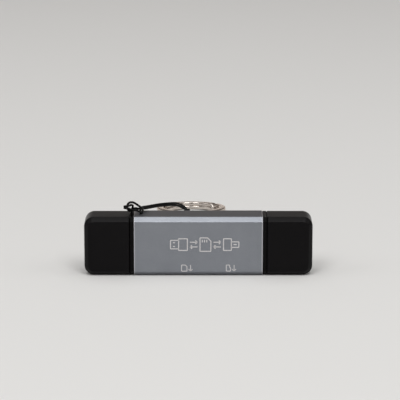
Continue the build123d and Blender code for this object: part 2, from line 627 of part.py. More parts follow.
board_mid_height = (BOARD_TOP - BOARD_BOTTOM) / 2
with BuildPart() as chip_capacitors:
    with BuildSketch(chip_plane):
        with Locations((-CAPACITOR_COLUMN, board_mid_height)):
            with GridLocations(1, CAPACITOR_PITCH, 1, CAPACITOR_COUNT):
                Rectangle(CAPACITOR_WIDTH, CAPACITOR_LENGTH)
    extrude(amount=CAPACITOR_HEIGHT)
chip_capacitors.part.label = "chip_capacitors"
export_step(chip_capacitors.part, "parts/chip_capacitors.step")

with BuildPart() as chip_resistors:
    with BuildSketch(chip_plane):
        with Locations((-RESISTOR_COLUMN, board_mid_height)):
            with GridLocations(1, RESISTOR_PITCH, 1, RESISTOR_COUNT):
                Rectangle(RESISTOR_WIDTH, RESISTOR_LENGTH)
    extrude(amount=RESISTOR_HEIGHT)
chip_resistors.part.label = "chip_resistors"
export_step(chip_resistors.part, "parts/chip_resistors.step")

# Split ring: two turns of flat spring wire, split by the gap where one turn ramps over to the other
ring_tilt = radians(RING_TILT)
ring_up = Vector(0, sin(ring_tilt), cos(ring_tilt))
ring_away = Vector(0, cos(ring_tilt), -sin(ring_tilt))
rest_height = (RING_OUTER / 2 - RING_TURN_CORNER) * sin(ring_tilt)
ring_middle = Vector(RING_X, RING_Y, rest_height + RING_FLOOR_GAP) + ring_up * RING_TURN
with BuildSketch() as wire_section:
    Rectangle(RING_BAND, RING_TURN)
    chamfer(wire_section.vertices(), RING_TURN_CORNER)
with BuildPart() as key_ring:
    with BuildSketch(Plane(origin=ring_middle, x_dir=(1, 0, 0), z_dir=-ring_away)):
        with Locations(((RING_OUTER - RING_BAND) / 2, 0)):
            with GridLocations(1, RING_TURN - RING_TURN_SINK, 1, 2):
                add(wire_section.sketch)
    revolve(axis=Axis(ring_middle, ring_up))
    split_turn = radians(RING_SPLIT_ANGLE)
    outwards = Vector(cos(split_turn), 0, 0) + ring_away * sin(split_turn)
    along = ring_up.cross(outwards)
    split_middle = ring_middle + outwards * (RING_OUTER - RING_BAND) / 2
    with BuildSketch(Plane(origin=split_middle, x_dir=along, z_dir=outwards)):
        half_ramp = RING_RAMP_LENGTH / 2
        for end in (-1, 1):
            with BuildLine():
                Polyline(
                    (end * half_ramp, end * RING_SPLIT_OVERCUT),
                    (-end * half_ramp, -end * RING_TURN),
                    (-end * (half_ramp - RING_SPLIT_GAP), -end * RING_TURN),
                    (end * (half_ramp + RING_SPLIT_GAP), end * RING_SPLIT_OVERCUT),
                    close=True,
                )
            make_face()
    extrude(amount=RING_BAND, both=True, mode=Mode.SUBTRACT)
key_ring.part.label = "key_ring"
export_step(key_ring.part, "parts/key_ring.step")

# Strap: limp round cord, its doubled run to the ring, the turn through the eye, and the knot between them
cord_radii = bend_radii(CORD_ROUTE)
print("cord bend radii, mm:", [round(radius, 2) for radius in cord_radii])
with BuildPart() as strap_cord:
    with BuildLine() as cord_line:
        FilletPolyline(*CORD_ROUTE, radius=cord_radii)
    with BuildSketch(Plane(origin=cord_line.line @ 0, z_dir=cord_line.line % 0)):
        RegularPolygon(CORD_DIAMETER / 2, CORD_SIDES)
    sweep()
strap_cord.part.label = "strap_cord"
export_step(strap_cord.part, "parts/strap_cord.step")

with BuildPart() as strap_turn:
    with BuildLine() as turn_line:
        FilletPolyline(*EYE_ROUTE, radius=EYE_BEND)
    with BuildSketch(Plane(origin=turn_line.line @ 0, z_dir=turn_line.line % 0)):
        RegularPolygon(CORD_DIAMETER / 2, CORD_SIDES)
    sweep()
strap_turn.part.label = "strap_turn"
export_step(strap_turn.part, "parts/strap_turn.step")

with BuildPart() as strap_knot:
    with BuildSketch(Plane(origin=KNOT_CENTRE, x_dir=(0, 1, 0), z_dir=(1, 0, 0))):
        RegularPolygon(KNOT_RADIUS, KNOT_SIDES)
    extrude(amount=KNOT_HALF_LENGTH, both=True)
    chamfer(strap_knot.faces().filter_by(Axis.X).edges(), KNOT_SHOULDER)
strap_knot.part.label = "strap_knot"
export_step(strap_knot.part, "parts/strap_knot.step")
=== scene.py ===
from math import cos, pi, radians, sin

import bpy
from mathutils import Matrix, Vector


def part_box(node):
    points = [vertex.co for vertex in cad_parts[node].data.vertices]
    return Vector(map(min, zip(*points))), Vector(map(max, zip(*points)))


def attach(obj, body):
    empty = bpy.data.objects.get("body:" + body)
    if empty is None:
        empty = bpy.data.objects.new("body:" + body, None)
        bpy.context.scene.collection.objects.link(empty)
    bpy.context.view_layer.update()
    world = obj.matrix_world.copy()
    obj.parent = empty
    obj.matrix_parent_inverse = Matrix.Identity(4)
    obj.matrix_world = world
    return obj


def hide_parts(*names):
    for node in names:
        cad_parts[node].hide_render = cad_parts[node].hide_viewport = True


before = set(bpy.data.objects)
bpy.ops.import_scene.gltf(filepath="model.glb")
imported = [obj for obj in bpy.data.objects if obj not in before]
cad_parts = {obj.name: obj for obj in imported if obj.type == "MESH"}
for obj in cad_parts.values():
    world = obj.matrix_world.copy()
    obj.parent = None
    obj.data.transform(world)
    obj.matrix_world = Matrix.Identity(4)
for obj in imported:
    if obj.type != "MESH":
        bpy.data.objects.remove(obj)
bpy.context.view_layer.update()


# Circuit board. A thin glass-fibre laminate on edge inside the sleeve, under a green solder mask that is
# slightly uneven in colour and shows the weave. Its ears sit in guides in the two bezels.
MASK_DARK = (0.004, 0.045, 0.02)
MASK_LIGHT = (0.008, 0.075, 0.032)
MASK_PATCHES = 420
MASK_ROUGHNESS = 0.32
MASK_COAT = 0.3
WEAVE_SCALE = 2500
WEAVE_DEPTH = 0.00003


def plain_material(name, constants):
    material = bpy.data.materials.new(name)
    material.use_nodes = True
    shader = material.node_tree.nodes["Principled BSDF"]
    for socket, value in constants.items():
        shader.inputs[socket].default_value = value
    return material


def start_finish(name, constants):
    material = plain_material(name, constants)
    tree = material.node_tree
    where = tree.nodes.new("ShaderNodeTexCoord").outputs["Object"]
    return material, tree, tree.nodes["Principled BSDF"], where


def add_node(tree, kind, sockets, **settings):
    node = tree.nodes.new(kind)
    for name, setting in settings.items():
        setattr(node, name, setting)
    for name, value in sockets.items():
        if isinstance(value, bpy.types.NodeSocket):
            tree.links.new(value, node.inputs[name])
        else:
            node.inputs[name].default_value = value
    return node


def add_noise(tree, place, scale, detail=3.0, roughness=0.5):
    sockets = {"Vector": place, "Scale": scale, "Detail": detail, "Roughness": roughness}
    return add_node(tree, "ShaderNodeTexNoise", sockets).outputs["Fac"]


def add_ramp(tree, pattern, dark, light, low=0.3, high=0.7):
    ramp = add_node(tree, "ShaderNodeValToRGB", {"Fac": pattern})
    first, last = ramp.color_ramp.elements
    first.position = low
    first.color = (*dark, 1)
    last.position = high
    last.color = (*light, 1)
    return ramp.outputs["Color"]


def colour_by(tree, shader, pattern, dark, light):
    tree.links.new(add_ramp(tree, pattern, dark, light), shader.inputs["Base Color"])


def add_bump(tree, shader, height, strength, distance):
    bump = add_node(tree, "ShaderNodeBump", {"Height": height, "Strength": strength, "Distance": distance})
    tree.links.new(bump.outputs["Normal"], shader.inputs["Normal"])
    return bump


def dress(material, *node_names):
    for name in node_names:
        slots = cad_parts[name].data.materials
        slots.clear()
        slots.append(material)


laminate, tree, shader, where = start_finish(
    "solder_mask_laminate",
    {"Roughness": MASK_ROUGHNESS, "Coat Weight": MASK_COAT},
)
colour_by(tree, shader, add_noise(tree, where, MASK_PATCHES, detail=4), MASK_DARK, MASK_LIGHT)
add_bump(tree, shader, add_noise(tree, where, WEAVE_SCALE, detail=2), strength=0.15, distance=WEAVE_DEPTH)
dress(laminate, "circuit_board")


# Chips on the board. The controller and the voltage regulator are black resin packages, moulded with a fine
# sandy texture and soldered to the board's back face.
RESIN_DARK = (0.012, 0.012, 0.013)
RESIN_LIGHT = (0.028, 0.028, 0.03)
RESIN_ROUGHNESS = (0.5, 0.7)
RESIN_GRAIN = 5000
RESIN_GRAIN_DEPTH = 0.00002


def add_range(tree, value, low, high, low_out, high_out):
    sockets = {"Value": value, "From Min": low, "From Max": high, "To Min": low_out, "To Max": high_out}
    return add_node(tree, "ShaderNodeMapRange", sockets).outputs["Result"]


def roughen_by(tree, shader, pattern, roughness, low=0.3, high=0.7):
    tree.links.new(add_range(tree, pattern, low, high, *roughness), shader.inputs["Roughness"])


resin, tree, shader, where = start_finish("moulded_resin", {})
grain = add_noise(tree, where, RESIN_GRAIN, detail=2)
colour_by(tree, shader, grain, RESIN_DARK, RESIN_LIGHT)
roughen_by(tree, shader, grain, RESIN_ROUGHNESS)
add_bump(tree, shader, grain, strength=0.2, distance=RESIN_GRAIN_DEPTH)
dress(resin, "controller_chip", "voltage_regulator")


# Chip capacitors and chip resistors. Small fired ceramic bricks in two rows, soldered to the board by the
# tinned cap at each end: the capacitors are tan, the resistors black with glass over the resistive film.
TIN_CAP = 0.0003
TIN_EDGE = 0.00002
TIN_COLOUR = (0.62, 0.61, 0.59, 1)
CERAMIC_TO_TIN_ROUGHNESS = (0.45, 0.33)
CERAMIC_SPECKLE = 3000
CAPACITOR_COUNT = 5
CAPACITOR_LENGTH = 0.0016
CAPACITOR_TANS = ((0.26, 0.17, 0.1), (0.42, 0.3, 0.2))
RESISTOR_COUNT = 6
RESISTOR_LENGTH = 0.001
RESISTOR_BLACKS = ((0.008, 0.008, 0.009), (0.016, 0.016, 0.018))


def add_math(tree, operation, *terms):
    node = tree.nodes.new("ShaderNodeMath")
    node.operation = operation
    for socket, term in zip(node.inputs, terms):
        if isinstance(term, bpy.types.NodeSocket):
            tree.links.new(term, socket)
        else:
            socket.default_value = term
    return node.outputs["Value"]


def split_vector(tree, vector):
    return add_node(tree, "ShaderNodeSeparateXYZ", {"Vector": vector}).outputs


def add_mix(tree, factor, first, second, blend="MIX"):
    sockets = {"Factor": factor, "A": first, "B": second}
    return add_node(tree, "ShaderNodeMix", sockets, data_type="RGBA", blend_type=blend).outputs["Result"]


def dress_bricks(node_name, material_name, body_colours, count, length):
    low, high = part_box(node_name)
    pitch = (high[2] - low[2] - length) / (count - 1)
    ceramic, tree, shader, where = start_finish(material_name, {})
    from_first = add_math(tree, "SUBTRACT", split_vector(tree, where)["Z"], low[2] + length / 2)
    from_brick = add_math(tree, "PINGPONG", from_first, pitch / 2)
    tin_start = length / 2 - TIN_CAP
    tinned = add_range(tree, from_brick, tin_start, tin_start + TIN_EDGE, 0, 1)
    body = add_ramp(tree, add_noise(tree, where, CERAMIC_SPECKLE), *body_colours)
    tree.links.new(add_mix(tree, tinned, body, TIN_COLOUR), shader.inputs["Base Color"])
    tree.links.new(tinned, shader.inputs["Metallic"])
    roughen_by(tree, shader, tinned, CERAMIC_TO_TIN_ROUGHNESS, low=0, high=1)
    dress(ceramic, node_name)


dress_bricks("chip_capacitors", "fired_ceramic", CAPACITOR_TANS, CAPACITOR_COUNT, CAPACITOR_LENGTH)
dress_bricks("chip_resistors", "black_glazed_ceramic", RESISTOR_BLACKS, RESISTOR_COUNT, RESISTOR_LENGTH)


# Plug shells, socket covers and the crystal's lid. Nickel-plated steel sheet, folded or drawn, with faint
# rolling marks along the sheet and a slightly uneven plating.
PLATING_DARK = (0.56, 0.555, 0.55)
PLATING_LIGHT = (0.68, 0.675, 0.66)
PLATING_CLOUD = 260
ROLLED_ROUGHNESS = (0.2, 0.36)
ROLLING_SCALE = (120, 6000, 6000)
ROLLING_DEPTH = 0.00001
plated_steel, tree, shader, where = start_finish("nickel_plated_sheet", {"Metallic": 1.0})
rolled = add_node(tree, "ShaderNodeMapping", {"Vector": where, "Scale": ROLLING_SCALE}).outputs["Vector"]
marks = add_noise(tree, rolled, scale=1.0, roughness=0.6)
colour_by(tree, shader, add_noise(tree, where, PLATING_CLOUD), PLATING_DARK, PLATING_LIGHT)
roughen_by(tree, shader, marks, ROLLED_ROUGHNESS)
add_bump(tree, shader, marks, strength=0.12, distance=ROLLING_DEPTH)
dress(plated_steel, "type_a_shell", "type_c_shell")
dress(plated_steel, "large_socket_cover", "small_socket_cover", "clock_crystal")


# Contacts. Stamped phosphor bronze strips with a thin gold flash, worn a little duller in patches. They are
# held in the plugs' mouldings and in the rear walls of the two card sockets.
GOLD_DULL = (0.72, 0.47, 0.16)
GOLD_BRIGHT = (0.86, 0.62, 0.26)
GOLD_ROUGHNESS = (0.34, 0.2)
GOLD_WEAR = 1800
gold, tree, shader, where = start_finish("gold_flash", {"Metallic": 1.0})
wear = add_noise(tree, where, GOLD_WEAR)
colour_by(tree, shader, wear, GOLD_DULL, GOLD_BRIGHT)
roughen_by(tree, shader, wear, GOLD_ROUGHNESS)
dress(gold, "type_a_contacts", "type_c_contacts", "large_socket_contacts", "small_socket_contacts")


# Plug tongue. A white glass-filled moulding inside the type A shell, with faint flow marks, which carries
# the plug's flat contacts.
TONGUE_DARK = (0.66, 0.655, 0.63)
TONGUE_LIGHT = (0.76, 0.755, 0.735)
TONGUE_ROUGHNESS = 0.42
TONGUE_FLOW = 700
FLOW_MARK_DEPTH = 0.00002
white_moulding, tree, shader, where = start_finish("white_moulding", {"Roughness": TONGUE_ROUGHNESS})
flow = add_noise(tree, where, TONGUE_FLOW, detail=4)
colour_by(tree, shader, flow, TONGUE_DARK, TONGUE_LIGHT)
add_bump(tree, shader, flow, strength=0.1, distance=FLOW_MARK_DEPTH)
dress(white_moulding, "type_a_tongue")


# Socket trays and the type C insert. Black heat-proof mouldings with faint flow marks, which hold the
# contacts of the two card sockets and of the type C plug.
TRAY_DARK = (0.012, 0.012, 0.012)
TRAY_LIGHT = (0.024, 0.024, 0.024)
TRAY_ROUGHNESS = 0.5
TRAY_FLOW = 900
dark_moulding, tree, shader, where = start_finish("black_heatproof_moulding", {"Roughness": TRAY_ROUGHNESS})
flow = add_noise(tree, where, TRAY_FLOW, detail=4)
colour_by(tree, shader, flow, TRAY_DARK, TRAY_LIGHT)
add_bump(tree, shader, flow, strength=0.1, distance=FLOW_MARK_DEPTH)
dress(dark_moulding, "large_socket_body", "small_socket_body", "type_c_insert")


# Sleeve. A drawn aluminium tube with chamfered corners, bead-blasted and anodised dark grey. The cut ends
# are faced after anodising, which leaves a thin bright line of bare metal round each end.
ANODISED_DARK = (0.275, 0.291, 0.323)
ANODISED_LIGHT = (0.3, 0.317, 0.35)
ANODISED_BLOOM = 130
ANODISED_GLANCE = (0.72, 0.66, 0.63, 1)
BLAST_SCALE = 3800
BLAST_LOW = 0.25
BLAST_HIGH = 0.75
BLAST_PIT = (0.88, 0.88, 0.88)
BLAST_PEAK = (1.0, 1.0, 1.0)
BLAST_ROUGHNESS = (0.34, 0.46)
BLAST_DEPTH = 0.00002
BLASTED_EDGE = 0.0005
END_LINE = 0.0004
END_LINE_FADE = 0.00006
BARE_METAL = (0.62, 0.63, 0.67, 1)
sleeve_low, sleeve_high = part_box("sleeve")


def round_edges(tree, bump, radius):
    rounded = add_node(tree, "ShaderNodeBevel", {"Radius": radius}, samples=8)
    tree.links.new(rounded.outputs["Normal"], bump.inputs["Normal"])


anodised, tree, shader, where = start_finish(
    "bead_blasted_anodised_aluminium",
    {"Metallic": 1.0, "Specular Tint": ANODISED_GLANCE},
)
blast = add_noise(tree, where, BLAST_SCALE, detail=2, roughness=0.6)
tint = add_ramp(tree, add_noise(tree, where, ANODISED_BLOOM), ANODISED_DARK, ANODISED_LIGHT)
speck = add_ramp(tree, blast, BLAST_PIT, BLAST_PEAK, BLAST_LOW, BLAST_HIGH)
grey = add_mix(tree, 1.0, tint, speck, blend="MULTIPLY")
from_middle = add_math(tree, "ABSOLUTE", split_vector(tree, where)["X"])
line_start = sleeve_high[0] - END_LINE
cut_edge = add_range(tree, from_middle, line_start, line_start + END_LINE_FADE, 0, 1)
tree.links.new(add_mix(tree, cut_edge, grey, BARE_METAL), shader.inputs["Base Color"])
roughen_by(tree, shader, blast, BLAST_ROUGHNESS, BLAST_LOW, BLAST_HIGH)
blast_bump = add_bump(tree, shader, blast, strength=0.35, distance=BLAST_DEPTH)
round_edges(tree, blast_bump, BLASTED_EDGE)
dress(anodised, "sleeve")


# Print on the sleeve's front. Pale ink, pad printed in one pass as a thin film: a row of plug and card
# signs in the middle, and a card with an arrow above each of the two slots. Points are in millimetres.
MM_PER_M = 1000
PRINT_FILM = 0.00003
PRINT_PROUD = 0.00002
PRINT_CORNER = 0.00014
PRINT_CORNER_STEPS = 4
SIGN_STROKE = 0.00032
MARK_STROKE = 0.00026
INK_THIN = (0.56, 0.545, 0.55)
INK_THICK = (0.66, 0.645, 0.65)
INK_ROUGHNESS = 0.6
INK_COVER = 5200
plug_a_sign = [
    [(-0.1, -2.0), (2.8, -2.0), (2.8, 2.0), (-0.1, 2.0), (-0.1, -2.0)],
    [(-0.1, 1.45), (-2.8, 1.45), (-2.8, -1.45), (-0.1, -1.45)],
    [(-2.0, 0.65), (-1.3, 0.65)],
    [(-2.0, -0.65), (-1.3, -0.65)],
]
plug_c_sign = [
    [(0.0, -2.0), (-2.6, -2.0), (-2.6, 2.0), (0.0, 2.0), (0.0, -2.0)],
    [(0.0, 0.95), (2.5, 0.95), (2.5, -0.95), (0.0, -0.95)],
    [(0.75, 0.0), (1.75, 0.0)],
]
card_sign = [
    [(-1.8, -2.3), (1.8, -2.3), (1.8, 1.2), (0.7, 2.3), (-1.8, 2.3), (-1.8, -2.3)],
    [(-1.05, 1.65), (-1.05, 0.75)],
    [(-0.3, 1.65), (-0.3, 0.75)],
    [(0.45, 1.65), (0.45, 0.75)],
]
swap_sign = [
    [(-1.25, 0.8), (1.25, 0.8)],
    [(0.55, 1.4), (1.25, 0.8), (0.55, 0.2)],
    [(1.25, -0.8), (-1.25, -0.8)],
    [(-0.55, -0.2), (-1.25, -0.8), (-0.55, -1.4)],
]
large_mark = [
    [(-1.9, -1.05), (-0.1, -1.05), (-0.1, 0.45), (-0.65, 1.05), (-1.9, 1.05), (-1.9, -1.05)],
    [(1.1, 1.05), (1.1, -1.05)],
    [(0.45, -0.35), (1.1, -1.05), (1.75, -0.35)],
]
small_mark = [
    [(-1.6, -1.05), (-0.2, -1.05), (-0.2, 0.05), (-0.5, 0.35), (-0.5, 1.05), (-1.6, 1.05), (-1.6, -1.05)],
    [(1.0, 1.05), (1.0, -1.05)],
    [(0.35, -0.35), (1.0, -1.05), (1.65, -0.35)],
]
sign_row = [
    (-6.45, 10.85, plug_a_sign),
    (-1.55, 10.85, swap_sign),
    (2.35, 10.85, card_sign),
    (6.25, 10.85, swap_sign),
    (10.95, 10.85, plug_c_sign),
]
slot_marks = [(-3.7, 2.77, large_mark), (10.9, 2.77, small_mark)]

ink, tree, shader, where = start_finish("pale_pad_print_ink", {"Roughness": INK_ROUGHNESS})
colour_by(tree, shader, add_noise(tree, where, INK_COVER), INK_THIN, INK_THICK)


def start_tree(name, sockets, output):
    tree = bpy.data.node_groups.new(name, "GeometryNodeTree")
    for label, kind in sockets.items():
        tree.interface.new_socket(label, in_out="INPUT", socket_type=f"NodeSocket{kind}")
    tree.interface.new_socket(output, in_out="OUTPUT", socket_type="NodeSocketGeometry")
    return tree, tree.nodes.new("NodeGroupInput").outputs


def finish_tree(tree, mesh, finish, output):
    whole = add_node(tree, "GeometryNodeRealizeInstances", {"Geometry": mesh})
    sockets = {"Geometry": whole.outputs["Geometry"], "Material": finish}
    coloured = add_node(tree, "GeometryNodeSetMaterial", sockets)
    tree.links.new(coloured.outputs["Geometry"], tree.nodes.new("NodeGroupOutput").inputs[output])


def add_object(name, data):
    added = bpy.data.objects.new(name, data)
    bpy.context.scene.collection.objects.link(added)
    return added


def run_tree(piece, tree, values):
    modifier = piece.modifiers.new(tree.name, "NODES")
    modifier.node_group = tree
    sockets = {item.name: item.identifier for item in tree.interface.items_tree if item.in_out == "INPUT"}
    for name, value in values.items():
        modifier[sockets[name]] = value
    bpy.context.view_layer.update()
    made = bpy.data.meshes.new_from_object(piece.evaluated_get(bpy.context.evaluated_depsgraph_get()))
    piece.modifiers.remove(modifier)
    piece.data = made


printed, inputs = start_tree(
    "printed_lines",
    {"Lines": "Geometry", "Stroke": "Float", "Film": "Float", "Corner": "Float", "Finish": "Material"},
    "Print",
)
drawn = add_node(printed, "GeometryNodeMeshToCurve", {"Mesh": inputs["Lines"]})
cornered = add_node(
    printed,
    "GeometryNodeFilletCurve",
    {
        "Curve": drawn.outputs["Curve"],
        "Radius": inputs["Corner"],
        "Count": PRINT_CORNER_STEPS,
        "Limit Radius": True,
    },
    mode="POLY",
)
facing = add_node(
    printed,
    "GeometryNodeSetCurveNormal",
    {"Curve": cornered.outputs["Curve"], "Normal": (0, -1, 0)},
    mode="FREE",
)
stroke_section = add_node(
    printed,
    "GeometryNodeCurvePrimitiveQuadrilateral",
    {"Width": inputs["Film"], "Height": inputs["Stroke"]},
)
film = add_node(
    printed,
    "GeometryNodeCurveToMesh",
    {
        "Curve": facing.outputs["Curve"],
        "Profile Curve": stroke_section.outputs["Curve"],
        "Fill Caps": True,
    },
)
flat = add_node(
    printed,
    "GeometryNodeSetShadeSmooth",
    {"Geometry": film.outputs["Mesh"], "Shade Smooth": False},
)
finish_tree(printed, flat.outputs["Geometry"], inputs["Finish"], "Print")


def print_signs(name, signs, stroke):
    spots = []
    edges = []
    level = sleeve_low[1] - PRINT_PROUD + PRINT_FILM / 2
    for middle_x, middle_z, lines in signs:
        for line in lines:
            closed = line[0] == line[-1]
            corners = line[:-1] if closed else line
            first = len(spots)
            spots += [((middle_x + x) / MM_PER_M, level, (middle_z + z) / MM_PER_M) for x, z in corners]
            edges += [(first + i, first + i + 1) for i in range(len(corners) - 1)]
            if closed:
                edges.append((first + len(corners) - 1, first))
    outline = bpy.data.meshes.new(name)
    outline.from_pydata(spots, edges, [])
    film_piece = add_object(name, outline)
    run_tree(
        film_piece,
        printed,
        {"Stroke": stroke, "Film": PRINT_FILM, "Corner": PRINT_CORNER, "Finish": ink},
    )
    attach(film_piece, "reader")


print_signs("plug_and_card_signs", sign_row, SIGN_STROKE)
print_signs("slot_marks", slot_marks, MARK_STROKE)


# Bezels. Black plastic mouldings pressed into the sleeve's ends, smoother and deeper black than the caps,
# with the plug windows and the collars that hold the caps.
BEZEL_DARK = (0.0012, 0.001, 0.001)
BEZEL_LIGHT = (0.0024, 0.002, 0.002)
BEZEL_ROUGHNESS = (0.12, 0.2)
BEZEL_SPECULAR = 0.08
BEZEL_FLOW = 350
deep_black, tree, shader, where = start_finish("deep_black_moulding", {"Specular IOR Level": BEZEL_SPECULAR})
flow = add_noise(tree, where, BEZEL_FLOW, detail=4)
colour_by(tree, shader, flow, BEZEL_DARK, BEZEL_LIGHT)
roughen_by(tree, shader, flow, BEZEL_ROUGHNESS)
dress(deep_black, "left_bezel", "right_bezel")


# Caps. Hollow black plastic mouldings with a fine satin texture from the mould, a little greyer where hands
# rub them. They push over the bezels' collars and hold by friction.
CAP_DARK = (0.0012, 0.0008, 0.0012)
CAP_LIGHT = (0.0024, 0.0018, 0.0024)
CAP_ROUGHNESS = (0.28, 0.36)
CAP_SPECULAR = 0.12
CAP_HANDLING = 90
CAP_TEXTURE = 4200
CAP_TEXTURE_DEPTH = 0.00002
CAP_EDGE = 0.0008
satin_black, tree, shader, where = start_finish("satin_black_moulding", {"Specular IOR Level": CAP_SPECULAR})
handling = add_noise(tree, where, CAP_HANDLING, detail=4)
colour_by(tree, shader, handling, CAP_DARK, CAP_LIGHT)
roughen_by(tree, shader, handling, CAP_ROUGHNESS)
texture = add_noise(tree, where, CAP_TEXTURE, detail=2, roughness=0.6)
texture_bump = add_bump(tree, shader, texture, strength=0.3, distance=CAP_TEXTURE_DEPTH)
round_edges(tree, texture_bump, CAP_EDGE)
dress(satin_black, "left_cap", "right_cap")


# Split ring. Two turns of flattened spring wire with rounded edges, nickel plated and barrel polished: the
# wire ramps from the lower turn to the upper one at the split. It lies on the table, its near edge lifted.
ring_low, ring_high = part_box("key_ring")
ring_middle = [(low + high) / 2 for low, high in zip(ring_low, ring_high)]
RING_OUTER = ring_high[0] - ring_low[0]
RING_BAND = 0.0025
RING_TURN = 0.0013
RING_EDGE = 0.00045
RING_EDGE_STEPS = 6
RING_RAMP = 0.0018
RING_END_GAP = 0.0002
RING_SPLIT = radians(42)
RING_TILT = radians(4.6)
RING_SHARP = radians(40)
RING_STEPS = 160
NICKEL_DARK = (0.58, 0.53, 0.49)
NICKEL_LIGHT = (0.68, 0.63, 0.585)
NICKEL_GLANCE = (0.8, 0.74, 0.69, 1)
NICKEL_ROUGHNESS = (0.1, 0.16)
NICKEL_CLOUD = 300
DIE_MARKS = 7000
DIE_MARK_DEPTH = 0.00001
wire_radius = (RING_OUTER - RING_BAND) / 2
end_turn = (RING_RAMP / 2 + RING_END_GAP) / wire_radius

nickel, tree, shader, where = start_finish(
    "nickel_plated_spring_wire",
    {"Metallic": 1.0, "Specular Tint": NICKEL_GLANCE},
)
centred = add_node(
    tree,
    "ShaderNodeMapping",
    {"Vector": where, "Location": ring_middle, "Rotation": (-RING_TILT, 0, 0)},
    vector_type="TEXTURE",
)
spot = split_vector(tree, centred.outputs["Vector"])
across = add_node(tree, "ShaderNodeCombineXYZ", {"X": spot["X"], "Y": spot["Y"]})
reach = add_node(tree, "ShaderNodeVectorMath", {"Vector": across.outputs["Vector"]}, operation="LENGTH")
die_place = add_node(tree, "ShaderNodeCombineXYZ", {"X": reach.outputs["Value"], "Z": spot["Z"]})
die_marks = add_noise(tree, die_place.outputs["Vector"], DIE_MARKS, detail=2)
colour_by(tree, shader, add_noise(tree, where, NICKEL_CLOUD, detail=4), NICKEL_DARK, NICKEL_LIGHT)
roughen_by(tree, shader, die_marks, NICKEL_ROUGHNESS)
add_bump(tree, shader, die_marks, strength=0.05, distance=DIE_MARK_DEPTH)

coil, inputs = start_tree(
    "split_ring",
    {
        "Wire radius": "Float",
        "Rotations": "Float",
        "Band": "Float",
        "Turn": "Float",
        "Edge": "Float",
        "Ramp": "Float",
        "Sharp angle": "Float",
        "Spin": "Vector",
        "Tilt": "Vector",
        "Middle": "Vector",
        "Finish": "Material",
    },
    "Ring",
)
wound = add_node(
    coil,
    "GeometryNodeCurveSpiral",
    {
        "Resolution": RING_STEPS,
        "Rotations": inputs["Rotations"],
        "Start Radius": inputs["Wire radius"],
        "End Radius": inputs["Wire radius"],
        "Height": 0,
        "Reverse": True,
    },
)
along = coil.nodes.new("GeometryNodeSplineParameter").outputs["Length"]
half_way = add_math(coil, "MULTIPLY", coil.nodes.new("GeometryNodeSplineLength").outputs["Length"], 0.5)
half_ramp = add_math(coil, "MULTIPLY", inputs["Ramp"], 0.5)
half_turn = add_math(coil, "MULTIPLY", inputs["Turn"], 0.5)
ramp = add_node(
    coil,
    "ShaderNodeMapRange",
    {
        "Value": add_math(coil, "SUBTRACT", along, half_way),
        "From Min": add_math(coil, "MULTIPLY", half_ramp, -1),
        "From Max": half_ramp,
        "To Min": add_math(coil, "MULTIPLY", half_turn, -1),
        "To Max": half_turn,
    },
    interpolation_type="SMOOTHSTEP",
)
level = add_node(coil, "ShaderNodeCombineXYZ", {"Z": ramp.outputs["Result"]})
stacked = add_node(
    coil,
    "GeometryNodeSetPosition",
    {"Geometry": wound.outputs["Curve"], "Offset": level.outputs["Vector"]},
)
upright = add_node(coil, "GeometryNodeSetCurveNormal", {"Curve": stacked.outputs["Geometry"]}, mode="Z_UP")
flat_wire = add_node(
    coil,
    "GeometryNodeCurvePrimitiveQuadrilateral",
    {"Width": inputs["Band"], "Height": inputs["Turn"]},
)
wire_section = add_node(
    coil,
    "GeometryNodeFilletCurve",
    {
        "Curve": flat_wire.outputs["Curve"],
        "Radius": inputs["Edge"],
        "Count": RING_EDGE_STEPS,
        "Limit Radius": True,
    },
    mode="POLY",
)
wire = add_node(
    coil,
    "GeometryNodeCurveToMesh",
    {
        "Curve": upright.outputs["Curve"],
        "Profile Curve": wire_section.outputs["Curve"],
        "Fill Caps": True,
    },
)
turned = add_node(
    coil,
    "GeometryNodeTransform",
    {"Geometry": wire.outputs["Mesh"], "Rotation": inputs["Spin"]},
)
laid = add_node(
    coil,
    "GeometryNodeTransform",
    {
        "Geometry": turned.outputs["Geometry"],
        "Rotation": inputs["Tilt"],
        "Translation": inputs["Middle"],
    },
)
smooth = add_node(coil, "GeometryNodeSetShadeSmooth", {"Geometry": laid.outputs["Geometry"]})
edge_angle = coil.nodes.new("GeometryNodeInputMeshEdgeAngle").outputs["Unsigned Angle"]
cut_ends = add_node(
    coil,
    "GeometryNodeSetShadeSmooth",
    {
        "Geometry": smooth.outputs["Geometry"],
        "Selection": add_math(coil, "GREATER_THAN", edge_angle, inputs["Sharp angle"]),
        "Shade Smooth": False,
    },
    domain="EDGE",
)
finish_tree(coil, cut_ends.outputs["Geometry"], inputs["Finish"], "Ring")

split_ring = add_object("split_ring", bpy.data.meshes.new("split_ring"))
run_tree(
    split_ring,
    coil,
    {
        "Wire radius": wire_radius,
        "Rotations": 2 - end_turn / pi,
        "Band": RING_BAND,
        "Turn": RING_TURN,
        "Edge": RING_EDGE,
        "Ramp": RING_RAMP,
        "Sharp angle": RING_SHARP,
        "Spin": (0, 0, RING_SPLIT + end_turn),
        "Tilt": (-RING_TILT, 0, 0),
        "Middle": ring_middle,
        "Finish": nickel,
    },
)
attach(split_ring, "reader")
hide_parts("key_ring")


